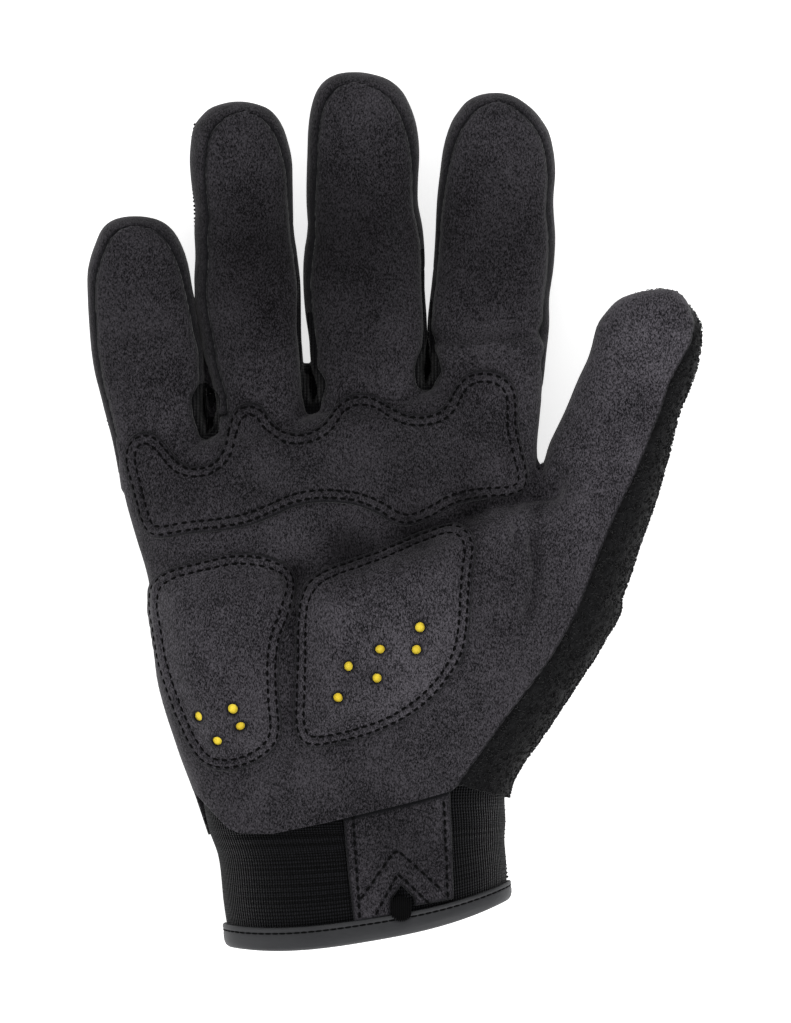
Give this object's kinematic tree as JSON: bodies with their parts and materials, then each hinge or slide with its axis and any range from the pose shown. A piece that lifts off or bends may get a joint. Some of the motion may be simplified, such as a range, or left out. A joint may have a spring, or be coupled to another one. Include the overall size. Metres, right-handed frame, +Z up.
{
  "type": "impact glove",
  "caption": "Right-hand work glove with a suede palm, foam-filled palm pads, knit back, rubber guards and a bound knit cuff, lying palm up.",
  "frame": {"origin": "middle of the glove's box, on the surface that it lies on", "axes": "+Y to the fingertips, +X to the thumb side, +Z up out of the palm"},
  "size_m": [0.1738, 0.25, 0.0446],
  "materials": {
    "suede": "matte charcoal synthetic suede",
    "knit": "black stretch knit",
    "terry": "black terry cloth",
    "binding": "smooth grey edge binding",
    "pad_foam": "yellow foam",
    "guard_rubber": "matte black moulded rubber"
  },
  "bodies": {
    "root": {"palm_panel": "suede", "back_panel": "knit", "thumb_terry_panel": "terry", "upper_palm_pad": "suede", "heel_pad_cover": "suede", "heel_pad_foam": "pad_foam", "thumb_pad_cover": "suede", "thumb_pad_foam": "pad_foam", "cuff": "knit", "cuff_tab": "suede", "cuff_binding": "binding", "cuff_bar_tack": "knit", "knuckle_guard": "guard_rubber", "side_strip_little": "suede", "fourchette_little_ring": "knit", "fourchette_ring_middle": "knit", "fourchette_middle_index": "knit", "side_strip_index": "suede", "tip_wrap_little": "suede", "tip_wrap_ring": "suede", "tip_wrap_middle": "suede", "tip_wrap_index": "suede", "finger_guard_little": "guard_rubber", "finger_guard_ring": "guard_rubber", "finger_guard_middle": "guard_rubber", "finger_guard_index": "guard_rubber"}
  },
  "joints": []
}
